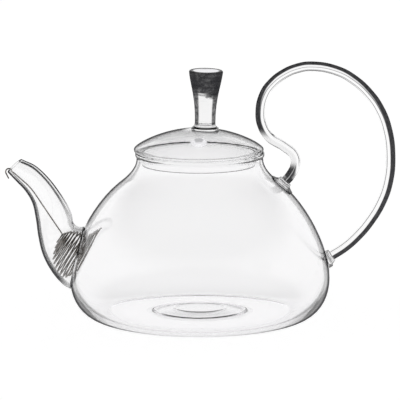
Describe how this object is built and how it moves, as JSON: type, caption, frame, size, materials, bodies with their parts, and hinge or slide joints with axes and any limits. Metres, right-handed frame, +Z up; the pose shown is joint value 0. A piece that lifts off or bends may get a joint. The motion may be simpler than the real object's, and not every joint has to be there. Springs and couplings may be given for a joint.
{
  "type": "glass teapot",
  "caption": "Clear glass teapot with an S-curved spout, a looped rod handle, a lift-off domed lid with a flared knob, and a coiled wire strainer in the spout.",
  "frame": {"origin": "centre of the ring that the pot stands on, in the plane of the table", "axes": "+Z up, +X towards the handle, -X towards the spout, Y across"},
  "size_m": [0.2186, 0.1458, 0.1458],
  "materials": {
    "pot_glass": "fire-polished clear borosilicate",
    "rod_glass": "fire-polished clear solid rod",
    "lid_glass": "fire-polished clear borosilicate",
    "knob_glass": "fire-polished clear solid glass",
    "steel_wire": "drawn stainless spring wire"
  },
  "bodies": {
    "pot": {"pot_body": "pot_glass", "spout": "pot_glass", "handle": "rod_glass", "handle_upper_foot": "rod_glass", "handle_lower_foot": "rod_glass", "strainer": "steel_wire"},
    "lid": {"lid_dome": "lid_glass", "lid_collar": "lid_glass", "lid_knob": "knob_glass"}
  },
  "joints": [
    {"name": "lid_lift", "type": "slide", "parent": "pot", "child": "lid", "axis": [-0.309, 0, 0.9511], "range_m": [0, 0.08]}
  ]
}
